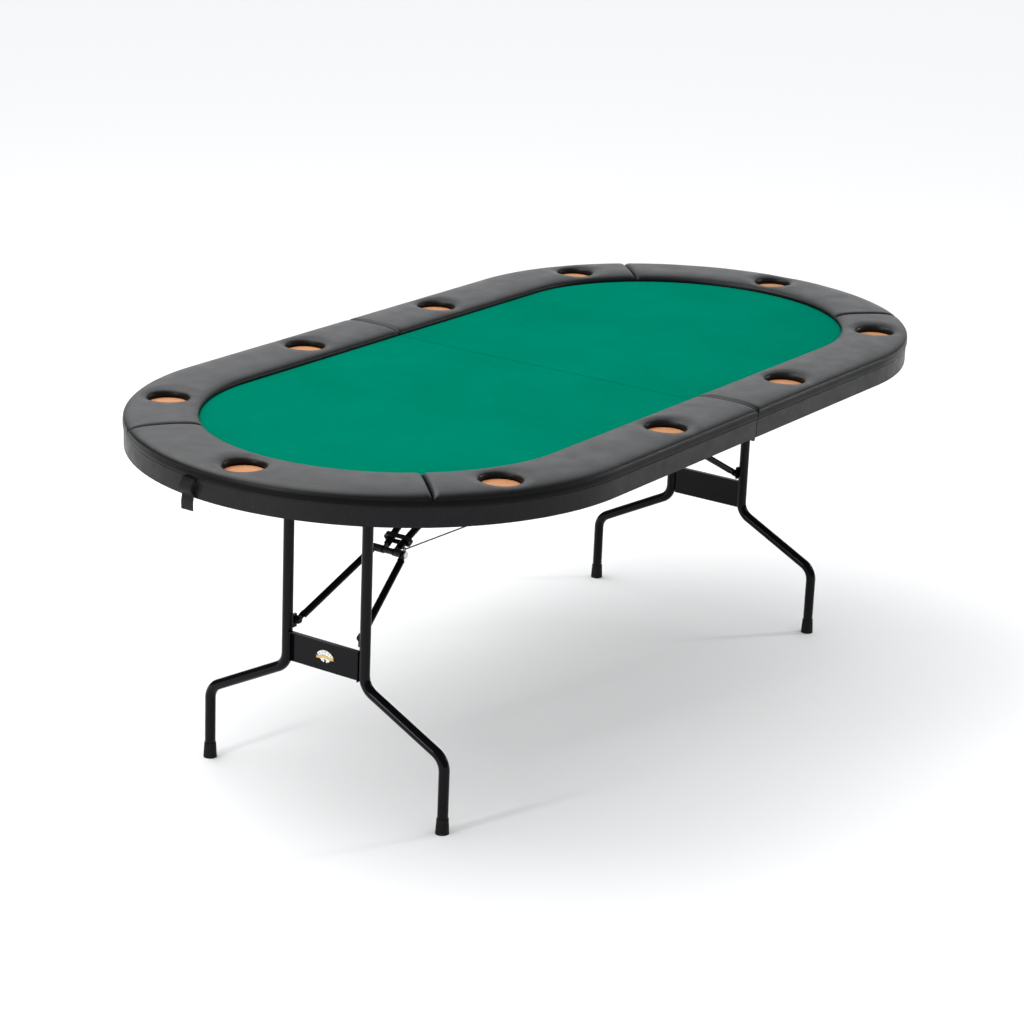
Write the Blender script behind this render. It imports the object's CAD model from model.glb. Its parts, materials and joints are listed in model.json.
"""Folding ten-seat poker table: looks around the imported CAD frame. Metres, +Z up."""
import json
import math

import bpy
from mathutils import Matrix, Vector


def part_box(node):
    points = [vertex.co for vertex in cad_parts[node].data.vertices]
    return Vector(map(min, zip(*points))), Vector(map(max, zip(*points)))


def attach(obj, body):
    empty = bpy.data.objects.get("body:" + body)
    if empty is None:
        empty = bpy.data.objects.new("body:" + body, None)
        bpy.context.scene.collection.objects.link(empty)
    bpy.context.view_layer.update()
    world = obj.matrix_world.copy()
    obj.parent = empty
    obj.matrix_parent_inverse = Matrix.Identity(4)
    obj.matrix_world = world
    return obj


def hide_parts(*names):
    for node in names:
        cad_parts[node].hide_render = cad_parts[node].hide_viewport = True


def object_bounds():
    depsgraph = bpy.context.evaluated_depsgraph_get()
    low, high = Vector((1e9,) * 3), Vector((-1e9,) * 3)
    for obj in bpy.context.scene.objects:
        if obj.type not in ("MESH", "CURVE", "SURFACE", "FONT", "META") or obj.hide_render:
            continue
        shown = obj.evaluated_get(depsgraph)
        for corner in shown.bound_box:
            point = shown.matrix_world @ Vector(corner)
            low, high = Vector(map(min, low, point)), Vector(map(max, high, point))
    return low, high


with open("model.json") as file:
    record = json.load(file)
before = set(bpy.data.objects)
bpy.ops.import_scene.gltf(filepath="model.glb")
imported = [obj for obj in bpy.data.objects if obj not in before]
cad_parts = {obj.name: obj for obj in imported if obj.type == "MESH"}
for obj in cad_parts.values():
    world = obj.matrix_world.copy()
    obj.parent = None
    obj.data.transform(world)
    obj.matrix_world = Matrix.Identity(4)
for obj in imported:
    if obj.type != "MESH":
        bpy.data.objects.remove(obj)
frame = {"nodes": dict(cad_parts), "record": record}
cad_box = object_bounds()

MM = 0.001
HALVES = {"left": 1, "right": -1}       # sign that turns left-half coordinates into the half's own

# ---------- places, from the CAD boxes ----------
END_R = cad_box[1].y                                    # radius of the rounded ends
END_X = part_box("right_pad_end")[1].x - END_R            # middle of the rounded end
CROWN_Z = cad_box[1].z
PLAY_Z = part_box("left_top_panel")[1].z
FELT_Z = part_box("left_felt")[1].z
FELT_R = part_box("left_felt")[1].y
FOLD_GAP = -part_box("left_pad_front")[1].x
RAIL_W = END_R - FELT_R - 0.5 * MM
CUP_R = 41 * MM
CUP_INSET = 75 * MM
CUP_X = 240 * MM
CUP_ANGLE = math.radians(63)
SEAM = math.radians(45)
SEAM_LEFT_BACK = math.radians(37)
CUP_LINE = END_R - CUP_INSET                            # radius of the line of cups


# ---------- camera ----------
CAMERA_PLACE = (-4.8808, -3.2288, 2.3361)
CAMERA_ANGLES = (-56.0, 18.18, 2.34)                    # azimuth, elevation and roll, in degrees
SENSOR_W = 36                                           # mm
FOCAL_SHARE = 2826.5 / 1024                             # focal length over the picture's width


def add_camera():
    azimuth, elevation, roll = (math.radians(a) for a in CAMERA_ANGLES)
    back = Vector((math.sin(azimuth) * math.cos(elevation),
                   -math.cos(azimuth) * math.cos(elevation), math.sin(elevation)))
    right = (-back).cross(Vector((0, 0, 1))).normalized()
    up = right.cross(-back)
    turned_right = right * math.cos(roll) + up * math.sin(roll)
    turned_up = up * math.cos(roll) - right * math.sin(roll)
    data = bpy.data.cameras.new("camera")
    data.lens = FOCAL_SHARE * SENSOR_W
    data.sensor_width = SENSOR_W
    data.clip_end = 100
    camera = bpy.data.objects.new("camera", data)
    bpy.context.scene.collection.objects.link(camera)
    axes = Matrix((turned_right, turned_up, back)).transposed().to_4x4()
    camera.matrix_world = Matrix.Translation(CAMERA_PLACE) @ axes
    bpy.context.scene.camera = camera


add_camera()


# ---------- materials ----------
class Material:
    """A principled material with a few helpers for its texture nodes."""

    def __init__(self, name, colour, roughness, **sockets):
        self.mat = bpy.data.materials.new(name)
        self.mat.use_nodes = True
        self.nodes = self.mat.node_tree.nodes
        self.links = self.mat.node_tree.links
        self.shader = self.nodes["Principled BSDF"]
        self.shader.inputs["Base Color"].default_value = (*colour, 1)
        self.shader.inputs["Roughness"].default_value = roughness
        for socket, value in sockets.items():
            self.shader.inputs[socket.replace("_", " ")].default_value = value
        texture_coordinates = self.nodes.new("ShaderNodeTexCoord")
        self.coords = texture_coordinates.outputs["Object"]
        self.local_normal = texture_coordinates.outputs["Normal"]
        self.normal = None

    def node(self, kind, output, **values):
        n = self.nodes.new("ShaderNode" + kind)
        for key, value in values.items():
            if hasattr(value, "links"):
                self.links.new(value, n.inputs[key.replace("_", " ")])
            elif key.replace("_", " ") in n.inputs:
                n.inputs[key.replace("_", " ")].default_value = value
            else:
                setattr(n, key, value)
        return n.outputs[output]

    def stretched(self, scale, turn=(0, 0, 0)):
        return self.node("Mapping", "Vector", Vector=self.coords, Scale=scale, Rotation=turn)

    def noise(self, scale, detail=3.0, vector=None):
        return self.node("TexNoise", "Fac", Vector=vector or self.coords, Scale=scale,
                         Detail=detail, Roughness=0.6)

    def spread(self, value, low, high, to_low=0.0, to_high=1.0):
        return self.node("MapRange", "Result", Value=value, From_Min=low, From_Max=high,
                         To_Min=to_low, To_Max=to_high)

    def math(self, operation, a, b):
        n = self.nodes.new("ShaderNodeMath")
        n.operation = operation
        for socket, value in zip(n.inputs, (a, b)):
            if hasattr(value, "links"):
                self.links.new(value, socket)
            else:
                socket.default_value = value
        return n.outputs[0]

    def mix(self, factor, a, b):
        n = self.nodes.new("ShaderNodeMix")
        n.data_type = "RGBA"
        self.links.new(factor, n.inputs["Factor"])
        for socket, value in ((n.inputs[6], a), (n.inputs[7], b)):
            if hasattr(value, "links"):
                self.links.new(value, socket)
            else:
                socket.default_value = (*value, 1)
        return n.outputs[2]

    def colour(self, output):
        self.links.new(output, self.shader.inputs["Base Color"])

    def rough(self, output):
        self.links.new(output, self.shader.inputs["Roughness"])

    def bump(self, height, strength, distance):
        n = self.nodes.new("ShaderNodeBump")
        n.inputs["Strength"].default_value = strength
        n.inputs["Distance"].default_value = distance
        self.links.new(height, n.inputs["Height"])
        if self.normal is not None:
            self.links.new(self.normal, n.inputs["Normal"])
        self.normal = n.outputs["Normal"]
        self.links.new(self.normal, self.shader.inputs["Normal"])


def vinyl():
    m = Material("vinyl", (0.014, 0.015, 0.016), 0.40, Specular_IOR_Level=0.5)
    broad = m.noise(5, 4)
    pores = m.node("TexVoronoi", "Distance", Vector=m.coords, Scale=720)
    creases = m.node("TexVoronoi", "Distance", Vector=m.coords, Scale=260,
                     feature="DISTANCE_TO_EDGE")
    tone = m.mix(m.spread(broad, 0.3, 0.7), (0.011, 0.012, 0.013), (0.017, 0.018, 0.020))
    tone = m.mix(m.spread(creases, 0.0, 0.12), (0.007, 0.007, 0.008), tone)
    height = m.node("SeparateXYZ", "Z", Vector=m.coords)
    open_top = m.spread(height, PLAY_Z + 3 * MM, PLAY_Z + 16.5 * MM)      # 0 in the holes, 1 on top
    m.colour(m.mix(open_top, (0.002, 0.002, 0.002), tone))
    m.links.new(m.spread(open_top, 0, 1, 0.08, 0.5), m.shader.inputs["Specular IOR Level"])
    m.rough(m.spread(m.noise(22, 5), 0.3, 0.7, 0.31, 0.41))
    m.bump(m.noise(9, 2), 0.25, 0.004)
    m.bump(m.spread(creases, 0.0, 0.15), 0.20, 0.0005)
    m.bump(pores, 0.16, 0.0004)
    return m.mat


def felt():
    m = Material("felt", (0.0, 0.155, 0.096), 0.95, Specular_IOR_Level=0.0)
    fibres = m.noise(1500, 5)
    streaks = m.noise(1, 4, m.stretched((900, 45, 300)))
    cross = m.noise(1, 3, m.stretched((60, 700, 300)))
    clouds = m.noise(3.2, 3)
    woven = m.math("ADD", m.math("MULTIPLY", streaks, 0.55), m.math("MULTIPLY", cross, 0.45))
    nap = m.mix(m.spread(woven, 0.36, 0.64), (0.0, 0.128, 0.079), (0.0, 0.166, 0.102))
    lighter = m.spread(m.math("MULTIPLY", clouds, fibres), 0.12, 0.42)
    m.colour(m.mix(lighter, nap, (0.0, 0.182, 0.114)))
    m.bump(woven, 0.25, 0.0006)
    m.bump(fibres, 0.5, 0.0007)
    return m.mat


def laminate():
    m = Material("laminate", (0.005, 0.005, 0.006), 0.42, Specular_IOR_Level=0.18)
    grain = m.noise(1, 5, m.stretched((420, 420, 60)))
    specks = m.noise(1300, 2)
    m.colour(m.mix(m.spread(grain, 0.3, 0.7), (0.003, 0.003, 0.004), (0.008, 0.008, 0.009)))
    m.rough(m.spread(m.noise(30, 4), 0.3, 0.7, 0.34, 0.48))
    m.bump(specks, 0.30, 0.0004)
    m.bump(grain, 0.12, 0.0005)
    return m.mat


def enamel():
    m = Material("enamel", (0.003, 0.003, 0.004), 0.14, Specular_IOR_Level=0.12)
    height = m.node("SeparateXYZ", "Z", Vector=m.coords)
    scuffs = m.spread(m.noise(1, 6, m.stretched((900, 160, 900))), 0.60, 0.72)
    low = m.spread(height, 0.20, 0.02)
    worn = m.math("MULTIPLY", scuffs, low)
    m.colour(m.mix(worn, (0.003, 0.003, 0.004), (0.025, 0.024, 0.023)))
    dust = m.spread(m.noise(60, 5), 0.4, 0.75, 0.11, 0.18)
    m.rough(m.math("ADD", dust, m.math("MULTIPLY", worn, 0.35)))
    m.bump(m.noise(260, 2), 0.05, 0.0004)
    return m.mat


def satin_steel():
    m = Material("satin_steel", (0.009, 0.009, 0.010), 0.33, Specular_IOR_Level=0.25)
    worn = m.spread(m.noise(90, 5), 0.3, 0.75)
    m.colour(m.mix(worn, (0.006, 0.006, 0.007), (0.016, 0.016, 0.017)))
    m.rough(m.spread(m.noise(40, 4), 0.3, 0.7, 0.28, 0.42))
    m.bump(m.noise(700, 3), 0.12, 0.0003)
    return m.mat


def zinc():
    m = Material("zinc", (0.62, 0.63, 0.65), 0.27, Metallic=1.0)
    spangle = m.node("TexVoronoi", "Color", Vector=m.coords, Scale=420)
    brushed = m.noise(1, 4, m.stretched((2600, 300, 2600)))
    tarnish = m.spread(m.noise(300, 3), 0.3, 0.7)
    m.colour(m.mix(tarnish, (0.52, 0.53, 0.55), (0.70, 0.70, 0.71)))
    m.rough(m.spread(brushed, 0.3, 0.7, 0.20, 0.36))
    m.bump(m.node("SeparateXYZ", "X", Vector=spangle), 0.05, 0.0002)
    return m.mat


def wire():
    m = Material("wire", (0.07, 0.07, 0.075), 0.30, Metallic=0.85)
    drawn = m.noise(1, 4, m.stretched((1800, 90, 1800)))
    m.colour(m.mix(m.spread(drawn, 0.3, 0.7), (0.045, 0.045, 0.05), (0.11, 0.11, 0.115)))
    m.rough(m.spread(drawn, 0.3, 0.7, 0.22, 0.40))
    return m.mat


def board():
    m = Material("board", (0.70, 0.37, 0.18), 0.62)
    fibres = m.noise(1, 6, m.stretched((500, 1300, 500)))
    flecks = m.spread(m.noise(420, 4), 0.60, 0.70)
    tone = m.mix(m.spread(m.noise(14, 4), 0.3, 0.7), (0.58, 0.25, 0.10), (0.70, 0.33, 0.145))
    tone = m.mix(m.spread(fibres, 0.35, 0.75), tone, (0.48, 0.20, 0.075))
    tone = m.mix(flecks, tone, (0.34, 0.14, 0.055))
    facing_up = m.node("SeparateXYZ", "Z", Vector=m.local_normal)
    m.colour(m.mix(m.spread(facing_up, 0.4, 0.6), (0.008, 0.008, 0.008), tone))
    m.rough(m.spread(fibres, 0.3, 0.7, 0.52, 0.72))
    m.bump(fibres, 0.20, 0.0004)
    return m.mat


def rubber():
    m = Material("rubber", (0.005, 0.005, 0.005), 0.62, Specular_IOR_Level=0.15)
    dust = m.spread(m.noise(160, 5), 0.35, 0.75)
    m.colour(m.mix(dust, (0.004, 0.004, 0.004), (0.010, 0.010, 0.010)))
    m.rough(m.spread(m.noise(90, 4), 0.3, 0.7, 0.5, 0.74))
    m.bump(m.noise(900, 3), 0.25, 0.0003)
    return m.mat


def webbing():
    m = Material("webbing", (0.006, 0.006, 0.007), 0.6, Specular_IOR_Level=0.25)
    warp = m.node("TexWave", "Fac", Vector=m.coords, Scale=190, bands_direction="Y")
    weft = m.node("TexWave", "Fac", Vector=m.coords, Scale=210, bands_direction="Z")
    weave = m.math("MULTIPLY", warp, weft)
    m.colour(m.mix(weave, (0.003, 0.003, 0.003), (0.010, 0.010, 0.011)))
    m.rough(m.spread(weave, 0, 1, 0.62, 0.45))
    m.bump(weave, 0.6, 0.0007)
    m.bump(m.noise(1500, 3), 0.2, 0.0003)
    return m.mat


def printed(name, light, dark, metallic=0.0):
    m = Material(name, light, 0.35, Metallic=metallic, Coat_Weight=0.4, Coat_Roughness=0.1)
    m.colour(m.mix(m.spread(m.noise(500, 3), 0.35, 0.7), light, dark))
    m.rough(m.spread(m.noise(200, 3), 0.3, 0.7, 0.28, 0.42))
    return m.mat


SLOT_MATERIALS = {
    "panel_board": board(), "playing_felt": felt(), "rail_vinyl": vinyl(),
    "apron_board": laminate(), "bracket_steel": satin_steel(), "zinc_steel": zinc(),
    "tube_enamel": enamel(), "spring_wire": wire(), "foot_rubber": rubber(), "strap_web": webbing(),
    "badge_print": printed("badge_gold", (0.72, 0.50, 0.16), (0.55, 0.36, 0.10), 0.9),
}
CARD_WHITE = printed("badge_white", (0.82, 0.82, 0.80), (0.70, 0.70, 0.68))
CARD_RED = printed("badge_red", (0.55, 0.02, 0.02), (0.42, 0.01, 0.01))
CARD_BLACK = printed("badge_black", (0.012, 0.012, 0.012), (0.02, 0.02, 0.02))

for part in frame["record"]["subparts"]:
    for slot in frame["nodes"][part["node"]].material_slots:
        slot.material = SLOT_MATERIALS[part["material_slot"]]


# ---------- mesh helpers ----------
def piece(name, verts, faces, body, material, replaced=(), sharp=40):
    mesh = bpy.data.meshes.new(name)
    mesh.from_pydata([tuple(v) for v in verts], [], faces)
    mesh.validate()
    mesh.update()
    mesh.shade_smooth()
    mesh.set_sharp_from_angle(angle=math.radians(sharp))
    mesh.materials.append(material)
    obj = bpy.data.objects.new(name, mesh)
    bpy.context.scene.collection.objects.link(obj)
    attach(obj, body)
    if replaced:
        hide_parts(*replaced)
    return obj


def outward(verts, faces):
    """Faces turned so that the closed mesh holds a positive volume."""
    volume = 0.0
    for f in faces:
        a = Vector(verts[f[0]])
        for i in range(1, len(f) - 1):
            volume += a.dot(Vector(verts[f[i]]).cross(Vector(verts[f[i + 1]])))
    return faces if volume > 0 else [tuple(reversed(f)) for f in faces]


# ---------- rail pads ----------
PATCH = 56 * MM                          # half side of the mesh patch round a cup hole
PATCH_STEPS = 20
EDGE_Z = PLAY_Z + 4.5 * MM               # where the crown starts, above both long edges
CROWN_POWER = 2.7                        # squareness of the crown's cross-section
END_ROUND = 13 * MM                      # length over which a pad rounds down at its ends
END_POWER = 2.2                          # squareness of that rounding
SEAM_GAP = 0.5 * MM                      # from a seam's middle to each pad
PINCH = 0.4 * MM                         # the crown starts this far inside the outer edge
RIM_REACH = 27 * MM                      # how far the cover dips round a cup hole
RIM_DIP = 5.2 * MM                       # and how deep
ROLL_W = 5 * MM                          # width of the rolled edge of the hole
ROLL_START = math.atan(2.2 * RIM_DIP / RIM_REACH)
ROLL_R = ROLL_W / (1 - math.sin(ROLL_START))
# mm in from each long edge
EDGE_STEPS = [0.0, 0.2, 0.6, 1.3, 2.4, 4.0, 6.0, 8.6, 11.8, 15.0]
# mm in from the outer edge and above the panel, down the wrapped side
OUTER_SIDE = [(0.2, 3.0), (0.05, 0.8), (0.0, -1.8), (0.0, -4.2), (0.2, -6.4), (1.1, -8.0),
              (2.9, -8.5)]


class Strip:
    """Pad coordinates on the left half: u along the line of cups, w in from the outer edge."""

    def __init__(self, kind, start, end=0.0):
        self.kind, self.start = kind, start
        if kind == "side":
            self.arc = CUP_LINE * (math.pi / 2 - start)
            self.length = self.arc + END_X - FOLD_GAP
            self.cups = [CUP_LINE * (CUP_ANGLE - start), self.arc + END_X - CUP_X]
            self.gaps = (SEAM_GAP, 0.4 * MM)
        else:
            self.arc = self.length = CUP_LINE * (start + end)
            self.cups = [CUP_LINE * start]
            self.gaps = (SEAM_GAP, SEAM_GAP)

    def point(self, u, w):
        rho = END_R - w
        if self.kind == "end":
            angle = u / CUP_LINE - self.start
            return -END_X - rho * math.cos(angle), rho * math.sin(angle)
        if u < self.arc:
            angle = u / CUP_LINE + self.start
            return -END_X - rho * math.cos(angle), -rho * math.sin(angle)
        return -END_X + u - self.arc, -rho

    def coordinates(self, x, y):
        if self.kind == "side" and x > -END_X:
            return self.arc + x + END_X, END_R + y
        angle = math.atan2(y if self.kind == "end" else -y, -x - END_X)
        turned = angle + self.start if self.kind == "end" else angle - self.start
        return turned * CUP_LINE, END_R - math.hypot(x + END_X, y)

    def lines(self):
        """The u of the mesh's cross lines, dense at the ends and even over each cup's patch."""
        low, high = self.gaps[0], self.length - self.gaps[1]
        near = [0.0, 0.3, 0.9, 1.9, 3.3, 5.2, 7.6, 10.4, 14.0]
        out = [low + n * MM for n in near]
        marks = [(c - PATCH, c + PATCH) for c in self.cups] + [(high - near[-1] * MM, None)]
        for a, b in marks:
            gap = a - out[-1]
            steps = max(1, math.ceil(gap / (8 * MM)))
            out += [out[-1] + gap * (i + 1) / steps for i in range(steps)]
            if b is not None:
                out += [a + (b - a) * (i + 1) / PATCH_STEPS for i in range(PATCH_STEPS)]
        return out + [high - n * MM for n in reversed(near[:-1])]


def crown(strip, holes, x, y, phase):
    """Height of the padded surface over the point, before the roll into a hole."""
    u, w = strip.coordinates(x, y)
    t = abs(2 * (w - PINCH) / (RAIL_W - PINCH) - 1)
    across = max(0.0, 1 - t ** CROWN_POWER) ** (1 / CROWN_POWER)
    stretch = (END_R - w) / CUP_LINE if u < strip.arc or strip.kind == "end" else 1.0
    along = 1.0
    for room in ((u - strip.gaps[0]) * stretch, (strip.length - strip.gaps[1] - u) * stretch):
        if room < END_ROUND:
            along *= max(0.0, 1 - max(0.0, 1 - room / END_ROUND) ** END_POWER) ** (1 / END_POWER)
    z = EDGE_Z + (CROWN_Z - 0.25 * MM - EDGE_Z) * across * along
    for cx, cy in holes:
        d = math.hypot(x - cx, y - cy) - CUP_R - ROLL_W
        if d < RIM_REACH:
            share = max(0.0, 1 - max(0.0, d) / RIM_REACH)
            turn = math.atan2(y - cy, x - cx)
            z -= RIM_DIP * share ** 2.2
            z += 0.22 * MM * math.sin(17 * turn + phase) * share * (1 - share) * 2
    ripple = math.sin(23 * x + phase) * math.sin(31 * y + 2 * phase)
    ripple += 0.6 * math.sin(57 * u + 3 * phase)
    return z + 0.14 * MM * ripple * across * along


def pad(name, strip, half, back, nodes, body, phase):
    us = strip.lines()
    patch_w = [CUP_INSET - PATCH + 2 * PATCH * i / PATCH_STEPS for i in range(PATCH_STEPS + 1)]
    outer = [PINCH + s * MM for s in EDGE_STEPS]
    inner = [RAIL_W - s * MM for s in reversed(EDGE_STEPS)]
    ws = outer + patch_w + inner
    first, last = len(outer), len(outer) + PATCH_STEPS        # indices of the patch's edge lines
    holes = [strip.point(c, CUP_INSET) for c in strip.cups]
    ranges = []
    for c in strip.cups:
        i0 = min(range(len(us)), key=lambda i: abs(us[i] - c + PATCH))
        ranges.append((i0, i0 + PATCH_STEPS))
    verts, faces = [], []

    def add(x, y, z):
        verts.append((x, y, z))
        return len(verts) - 1

    def in_patch(i, j, closed):
        if closed:
            return any(a <= i < b for a, b in ranges) and first <= j < last
        return any(a < i < b for a, b in ranges) and first < j < last

    base_z = PLAY_Z + 0.05 * MM
    bottom_ws = [j for j, w in enumerate(ws) if w > 4 * MM]
    top, bottom = {}, {}
    for i, u in enumerate(us):
        for j, w in enumerate(ws):
            if in_patch(i, j, False):
                continue
            x, y = strip.point(u, w)
            top[i, j] = add(x, y, crown(strip, holes, x, y, phase))
            if j in bottom_ws:
                bottom[i, j] = add(x, y, base_z)
    n = len(us)
    m = len(ws)
    for i in range(n - 1):
        for j in range(m - 1):
            if in_patch(i, j, True):
                continue
            faces.append((top[i, j], top[i + 1, j], top[i + 1, j + 1], top[i, j + 1]))
            if j in bottom_ws:
                faces.append((bottom[i, j], bottom[i, j + 1],
                              bottom[i + 1, j + 1], bottom[i + 1, j]))
    # the wrapped outer side, then up behind it to the underside of the pad
    side = []
    for i, u in enumerate(us):
        row = [top[i, 0]]
        for w, z in OUTER_SIDE:
            x, y = strip.point(u, w * MM)
            row.append(add(x, y, PLAY_Z + z * MM))
        x, y = strip.point(u, 3.0 * MM)
        row.append(add(x, y, base_z))
        row.append(bottom[i, bottom_ws[0]])
        side.append(row)
    tuck = []
    for i, u in enumerate(us):
        row = [top[i, m - 1]]
        for w, z in ((RAIL_W + 0.1 * MM, 3.0 * MM), (RAIL_W - 0.2 * MM, 1.2 * MM)):
            x, y = strip.point(u, w)
            row.append(add(x, y, PLAY_Z + z))
        row.append(bottom[i, m - 1])
        tuck.append(row)
    for i in range(n - 1):
        for k in range(len(side[0]) - 1):
            faces.append((side[i][k], side[i][k + 1], side[i + 1][k + 1], side[i + 1][k]))
        for k in range(len(tuck[0]) - 1):
            faces.append((tuck[i][k], tuck[i + 1][k], tuck[i + 1][k + 1], tuck[i][k + 1]))
    for i, turned in ((0, False), (n - 1, True)):
        loop = [top[i, j] for j in range(m)] + tuck[i][1:-1]
        loop += [bottom[i, j] for j in reversed(bottom_ws)] + side[i][-2:0:-1]
        faces.append(tuple(reversed(loop)) if turned else tuple(loop))
    # rings from each patch's edge to the hole, the rolled edge and the wall
    for (a, b), (cx, cy) in zip(ranges, holes):
        edge = [(i, first) for i in range(a, b)] + [(b, j) for j in range(first, last)]
        edge += [(i, last) for i in range(b, a, -1)] + [(a, j) for j in range(last, first, -1)]
        turns = [math.atan2(verts[top[k]][1] - cy, verts[top[k]][0] - cx) for k in edge]
        rings = [[top[k] for k in edge]]
        steps = 7
        for s in range(1, steps + 1):
            share = 1 - (1 - s / steps) ** 1.25
            ring = []
            for k, turn in zip(edge, turns):
                ex, ey, _ = verts[top[k]]
                rim = CUP_R + ROLL_W
                x = ex + (cx + rim * math.cos(turn) - ex) * share
                y = ey + (cy + rim * math.sin(turn) - ey) * share
                ring.append(add(x, y, crown(strip, holes, x, y, phase)))
            rings.append(ring)
        rim_z = [verts[v][2] for v in rings[-1]]
        for s in range(1, 7):
            angle = ROLL_START + (math.pi / 2 - ROLL_START) * s / 6
            r = CUP_R + ROLL_W - ROLL_R * (math.sin(angle) - math.sin(ROLL_START))
            drop = ROLL_R * (math.cos(ROLL_START) - math.cos(angle))
            rings.append([add(cx + r * math.cos(t), cy + r * math.sin(t), z - drop)
                          for t, z in zip(turns, rim_z)])
        wall_z = [verts[v][2] for v in rings[-1]]
        for s in range(1, 4):
            r = CUP_R + 0.25 * MM * math.sin(math.pi * s / 3)
            rings.append([add(cx + r * math.cos(t), cy + r * math.sin(t), z + (base_z - z) * s / 3)
                          for t, z in zip(turns, wall_z)])
        rings.append([bottom[k] for k in edge])
        count = len(edge)
        for near, far in zip(rings, rings[1:]):
            for k in range(count):
                e = (k + 1) % count
                faces.append((near[k], near[e], far[e], far[k]))
    verts = [(half * x, back * y, z) for x, y, z in verts]
    obj = piece(name, verts, outward(verts, faces), body, SLOT_MATERIALS["rail_vinyl"],
                nodes, sharp=50)
    return obj


for half_name, half_sign in HALVES.items():
    back_seam = SEAM_LEFT_BACK if half_name == "left" else SEAM
    top_body = half_name + "_top"
    for spot, (where, strip, back_sign) in enumerate((
            ("front", Strip("side", SEAM), 1), ("back", Strip("side", back_seam), -1),
            ("end", Strip("end", SEAM, back_seam), 1))):
        pad(f"rail_pad_{half_name}_{where}", strip, half_sign, back_sign,
            [f"{half_name}_pad_{where}"], top_body, 1.3 * spot + (0 if half_sign > 0 else 0.7))


# ---------- playing felt ----------
def felt_half(half_name, half_sign):
    columns = [-FOLD_GAP - (END_X - FOLD_GAP) * i / 60 for i in range(61)]
    columns += [-END_X - FELT_R * math.sin(math.radians(90 * i / 44)) for i in range(1, 44)]
    rows = 60
    verts, faces, layers = [], [], []
    for z, wave in ((FELT_Z - 0.2 * MM, 0.12 * MM), (PLAY_Z + 0.05 * MM, 0.0)):
        grid = []
        for x in columns:
            reach = FELT_R if x >= -END_X else math.sqrt(max(0.0, FELT_R ** 2 - (x + END_X) ** 2))
            line = []
            for k in range(rows + 1):
                y = reach * (2 * k / rows - 1)
                edge = min(1.0, 40 * (1 - abs(2 * k / rows - 1)))
                lift = wave * math.sin(9 * x + 1.0) * math.cos(13 * y + 0.4) * edge
                verts.append((x, y, z + lift))
                line.append(len(verts) - 1)
            grid.append(line)
        verts.append((-END_X - FELT_R, 0.0, z))
        layers.append((grid, len(verts) - 1))
    for (grid, tip), turned in zip(layers, (False, True)):
        cells = [(grid[i][k], grid[i][k + 1], grid[i + 1][k + 1], grid[i + 1][k])
                 for i in range(len(grid) - 1) for k in range(rows)]
        cells += [(grid[-1][k], grid[-1][k + 1], tip) for k in range(rows)]
        faces += [tuple(reversed(c)) for c in cells] if turned else cells
    upper, lower = layers
    rim = []
    for grid, tip in (upper, lower):
        rim.append([g[0] for g in grid] + [tip] + [g[-1] for g in reversed(grid)]
                   + grid[0][-2:0:-1])
    count = len(rim[0])
    for k in range(count):
        e = (k + 1) % count
        faces.append((rim[0][k], rim[0][e], rim[1][e], rim[1][k]))
    verts = [(half_sign * x, y, z) for x, y, z in verts]
    obj = piece(f"playing_felt_{half_name}", verts, outward(verts, faces), half_name + "_top",
                SLOT_MATERIALS["playing_felt"], [half_name + "_felt"])


for half_name, half_sign in HALVES.items():
    felt_half(half_name, half_sign)


# ---------- closing strap ----------
def smooth_path(points, per_span):
    """Catmull-Rom points through the given ones."""
    pts = [Vector(p) for p in points]
    pts = [2 * pts[0] - pts[1]] + pts + [2 * pts[-1] - pts[-2]]
    out = []
    for i in range(1, len(pts) - 2):
        p0, p1, p2, p3 = pts[i - 1:i + 3]
        for k in range(per_span):
            t = k / per_span
            out.append(0.5 * (2 * p1 + (p2 - p0) * t + (2 * p0 - 5 * p1 + 4 * p2 - p3) * t ** 2
                              + (3 * p1 - p0 - 3 * p2 + p3) * t ** 3))
    return out + [pts[-2]]


def ribbon(points, width, thickness, across=Vector((0, 1, 0)), steps=8):
    """A closed flat band along the points, a little thinner at its woven edges."""
    verts, faces, loops = [], [], []
    for i, p in enumerate(points):
        ahead = points[min(i + 1, len(points) - 1)] - points[max(i - 1, 0)]
        normal = across.cross(ahead).normalized()
        upper, lower = [], []
        for k in range(steps + 1):
            s = 2 * k / steps - 1
            half = thickness / 2 * (1 - 0.35 * abs(s) ** 6)
            centre = p + across * (s * width / 2)
            upper.append(centre + normal * half)
            lower.append(centre - normal * half)
        loop = upper + lower[::-1]
        loops.append([len(verts) + k for k in range(len(loop))])
        verts += loop
    for a, b in zip(loops, loops[1:]):
        for k in range(len(a)):
            e = (k + 1) % len(a)
            faces.append((a[k], a[e], b[e], b[k]))
    for loop in (loops[0], loops[-1][::-1]):
        for k in range(steps):
            faces.append((loop[k], loop[-1 - k], loop[-2 - k], loop[k + 1]))
    return verts, outward(verts, faces)


strap_lo, strap_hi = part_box("closing_strap")
strap_mid_x = (strap_lo.x + strap_hi.x) / 2
strap_mid_y = (strap_lo.y + strap_hi.y) / 2
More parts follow.
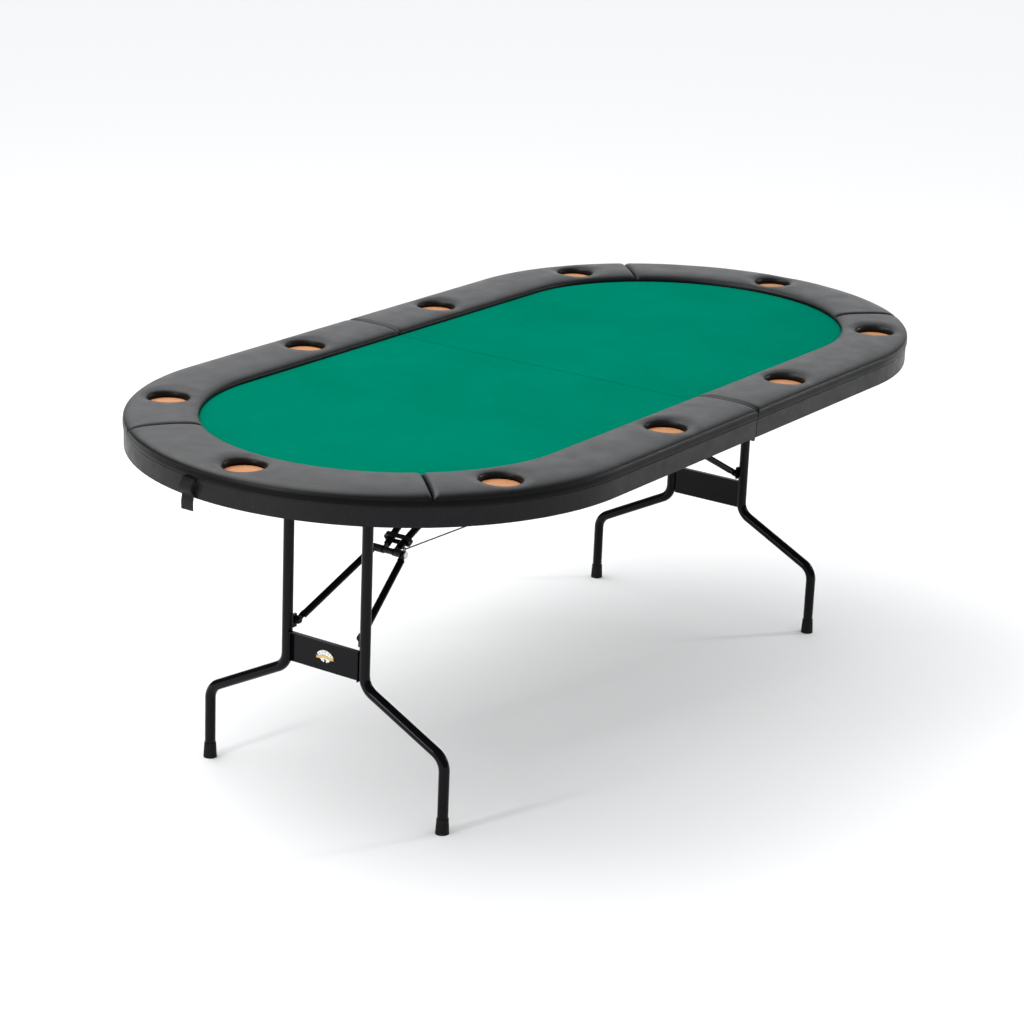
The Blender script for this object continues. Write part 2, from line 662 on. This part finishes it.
# mm outwards (negative) and up from the top of the strap: a loose loop, then a hanging end
STRAP_LINE = [(1.5, 3.0), (-2.5, 2.0), (-8.0, -3.5), (-10.5, -11.0), (-8.5, -18.5), (-3.5, -23.0),
              (-2.5, -28.5), (-4.0, -36.0), (-4.5, -45.0), (-4.0, -55.0)]
strap_points = smooth_path([(strap_mid_x + dx * MM, strap_mid_y, strap_hi.z + dz * MM)
                            for dx, dz in STRAP_LINE], 8)
strap_w = 29 * MM
strap_verts, strap_faces = ribbon(strap_points, strap_w, 1.8 * MM)
strap = piece("strap_webbing", strap_verts, strap_faces, "strap", SLOT_MATERIALS["strap_web"],
              ["closing_strap"], sharp=60)


# ---------- emblem on the left plate: a fan of cards behind a gold band ----------
BADGE_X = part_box("badge")[1].x                          # face of the plate
BADGE_Z = (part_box("badge")[0].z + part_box("badge")[1].z) / 2


def emblem(name, outlines, depth, material, replaced=()):
    """Flat shapes (across, up) in mm on the plate's outer face, each from depth[0] to depth[1]."""
    verts, faces = [], []
    for outline in outlines:
        start, count = len(verts), len(outline)
        for d in depth:
            verts += [(BADGE_X - d * MM, -a * MM, BADGE_Z + b * MM) for a, b in outline]
        front = tuple(range(start + count, start + 2 * count))
        rear = tuple(range(start, start + count))
        own = [front, rear[::-1]]
        for k in range(count):
            e = (k + 1) % count
            own.append((rear[k], rear[e], front[e], front[k]))
        faces += outward(verts, own)
    return piece(name, verts, faces, "left_leg", material, replaced, sharp=30)


def turned(shape, angle, shift):
    """The shape turned clockwise by degrees, then moved."""
    c, s = math.cos(math.radians(angle)), math.sin(math.radians(angle))
    return [(x * c + y * s + shift[0], y * c - x * s + shift[1]) for x, y in shape]


def card(w, h, corner):
    """A rectangle with rounded corners."""
    points = []
    for cx, cy, start in ((1, 1, 0), (-1, 1, 90), (-1, -1, 180), (1, -1, 270)):
        for k in range(4):
            a = math.radians(start + 30 * k)
            points.append((cx * (w / 2 - corner) + corner * math.cos(a),
                           cy * (h / 2 - corner) + corner * math.sin(a)))
    return points


FAN = range(-2, 3)
FAN_STEP = 20                            # degrees from card to card
PIVOT = -15                              # height of the fan's pivot from the badge's middle
CARD = (9.6, 19.0, 1.3)                  # width, height, corner radius
CARD_REACH = 17                          # from the fan's pivot to each card's middle
PIP_REACH = 23                           # and to its pip
LAYER = 0.12                             # thickness of each card on the one below
REAR = 0.02                              # gap behind the emblem
diamond = [(0, 1.9), (1.3, 0), (0, -1.9), (-1.3, 0)]
gold_band = [(-23, -7.5), (-19.5, -4.6), (-23, -2.2), (-14, -2.4), (-6, 1.2), (4, 0.6), (12, -1.0),
             (23, 1.0), (20, -2.2), (23, -5.4), (12, -6.4), (4, -4.6), (-6, -4.2), (-14, -7.0)]


def fanned(shape, radius, spot):
    """The shape at a radius from the fan's pivot, turned to one card's spot."""
    return turned([(x, y + radius) for x, y in shape], FAN_STEP * spot, (0, PIVOT))


edge = card(CARD[0] + 0.9, CARD[1] + 0.9, CARD[2] + 0.4)
for k, spot in enumerate(FAN):
    base = 0.2 + 2 * LAYER * k
    emblem(f"badge_edge_{k}", [fanned(edge, CARD_REACH, spot)], (REAR, base), CARD_BLACK,
           ["badge"] if k == 0 else ())
    emblem(f"badge_card_{k}", [fanned(card(*CARD), CARD_REACH, spot)], (REAR, base + LAYER),
           CARD_WHITE)
    emblem(f"badge_pip_{k}", [fanned(diamond, PIP_REACH, spot)], (base, base + 1.5 * LAYER),
           CARD_RED if k % 2 else CARD_BLACK)
emblem("badge_ribbon_edge", [[(1.03 * x, 1.12 * y + 0.3) for x, y in gold_band]], (REAR, 1.45),
       CARD_BLACK)
emblem("badge_ribbon", [gold_band], (REAR, 1.6), SLOT_MATERIALS["badge_print"])
emblem("badge_lower_pips",
       [[(2.2 * x + shift, 1.6 * y - 11) for x, y in diamond] for shift in (-4.4, 4.4)],
       (REAR, 0.5), CARD_WHITE)

# ---------- floor, lights, surroundings ----------
FLOOR_Z = -0.2 * MM
WALL_DIRECTION = (0.80, 0.52, 0.33)      # towards the bright wall behind the table
WALL_EDGE = (0.78, 0.97)                 # cosines between which the wall fades in
WALL_STRENGTH = (0.07, 0.95)             # reflected strength away from the wall and on it


def plane(name, size, z, material):
    h = size / 2
    mesh = bpy.data.meshes.new(name)
    mesh.from_pydata([(-h, -h, z), (h, -h, z), (h, h, z), (-h, h, z)], [], [(0, 1, 2, 3)])
    mesh.materials.append(material)
    obj = bpy.data.objects.new(name, mesh)
    bpy.context.scene.collection.objects.link(obj)


plane("floor", 80, FLOOR_Z,
      Material("floor", (0.96, 0.96, 0.96), 0.8, Specular_IOR_Level=0.1).mat)


def area_light(name, place, aim, size, power):
    data = bpy.data.lights.new(name, "AREA")
    data.shape = "RECTANGLE"
    data.size, data.size_y = size
    data.energy = power
    light = bpy.data.objects.new(name, data)
    bpy.context.scene.collection.objects.link(light)
    light.location = place
    light.rotation_mode = "QUATERNION"
    light.rotation_quaternion = (Vector(aim) - Vector(place)).to_track_quat("-Z", "Y")


area_light("top", (-0.6, 1.6, 3.4), (0, 0.1, 0.7), (4.2, 2.4), 75)
area_light("left", (-4.4, 0.8, 1.7), (-0.6, 0, 0.6), (0.30, 2.4), 46)
area_light("right", (3.6, -2.6, 2.0), (0.2, 0, 0.6), (0.30, 2.0), 34)


def add_world():
    """Even white surroundings; reflections see a dark studio with one bright wall."""
    world = bpy.data.worlds.new("world")
    world.use_nodes = True
    nodes, links = world.node_tree.nodes, world.node_tree.links
    background = nodes["Background"]
    background.inputs["Color"].default_value = (0.98, 0.99, 1.0, 1)
    toward_wall = nodes.new("ShaderNodeVectorMath")
    toward_wall.operation = "DOT_PRODUCT"
    toward_wall.inputs[1].default_value = Vector(WALL_DIRECTION).normalized()
    links.new(nodes.new("ShaderNodeTexCoord").outputs["Generated"], toward_wall.inputs[0])
    reflected = nodes.new("ShaderNodeMapRange")
    for socket, value in zip(("From Min", "From Max", "To Min", "To Max"),
                             WALL_EDGE + WALL_STRENGTH):
        reflected.inputs[socket].default_value = value
    links.new(toward_wall.outputs["Value"], reflected.inputs["Value"])
    strength = nodes.new("ShaderNodeMapRange")
    strength.inputs["To Min"].default_value = 1.0
    links.new(reflected.outputs["Result"], strength.inputs["To Max"])
    links.new(nodes.new("ShaderNodeLightPath").outputs["Is Glossy Ray"], strength.inputs["Value"])
    links.new(strength.outputs["Result"], background.inputs["Strength"])
    bpy.context.scene.world = world


add_world()
bpy.context.scene.view_settings.view_transform = "Standard"
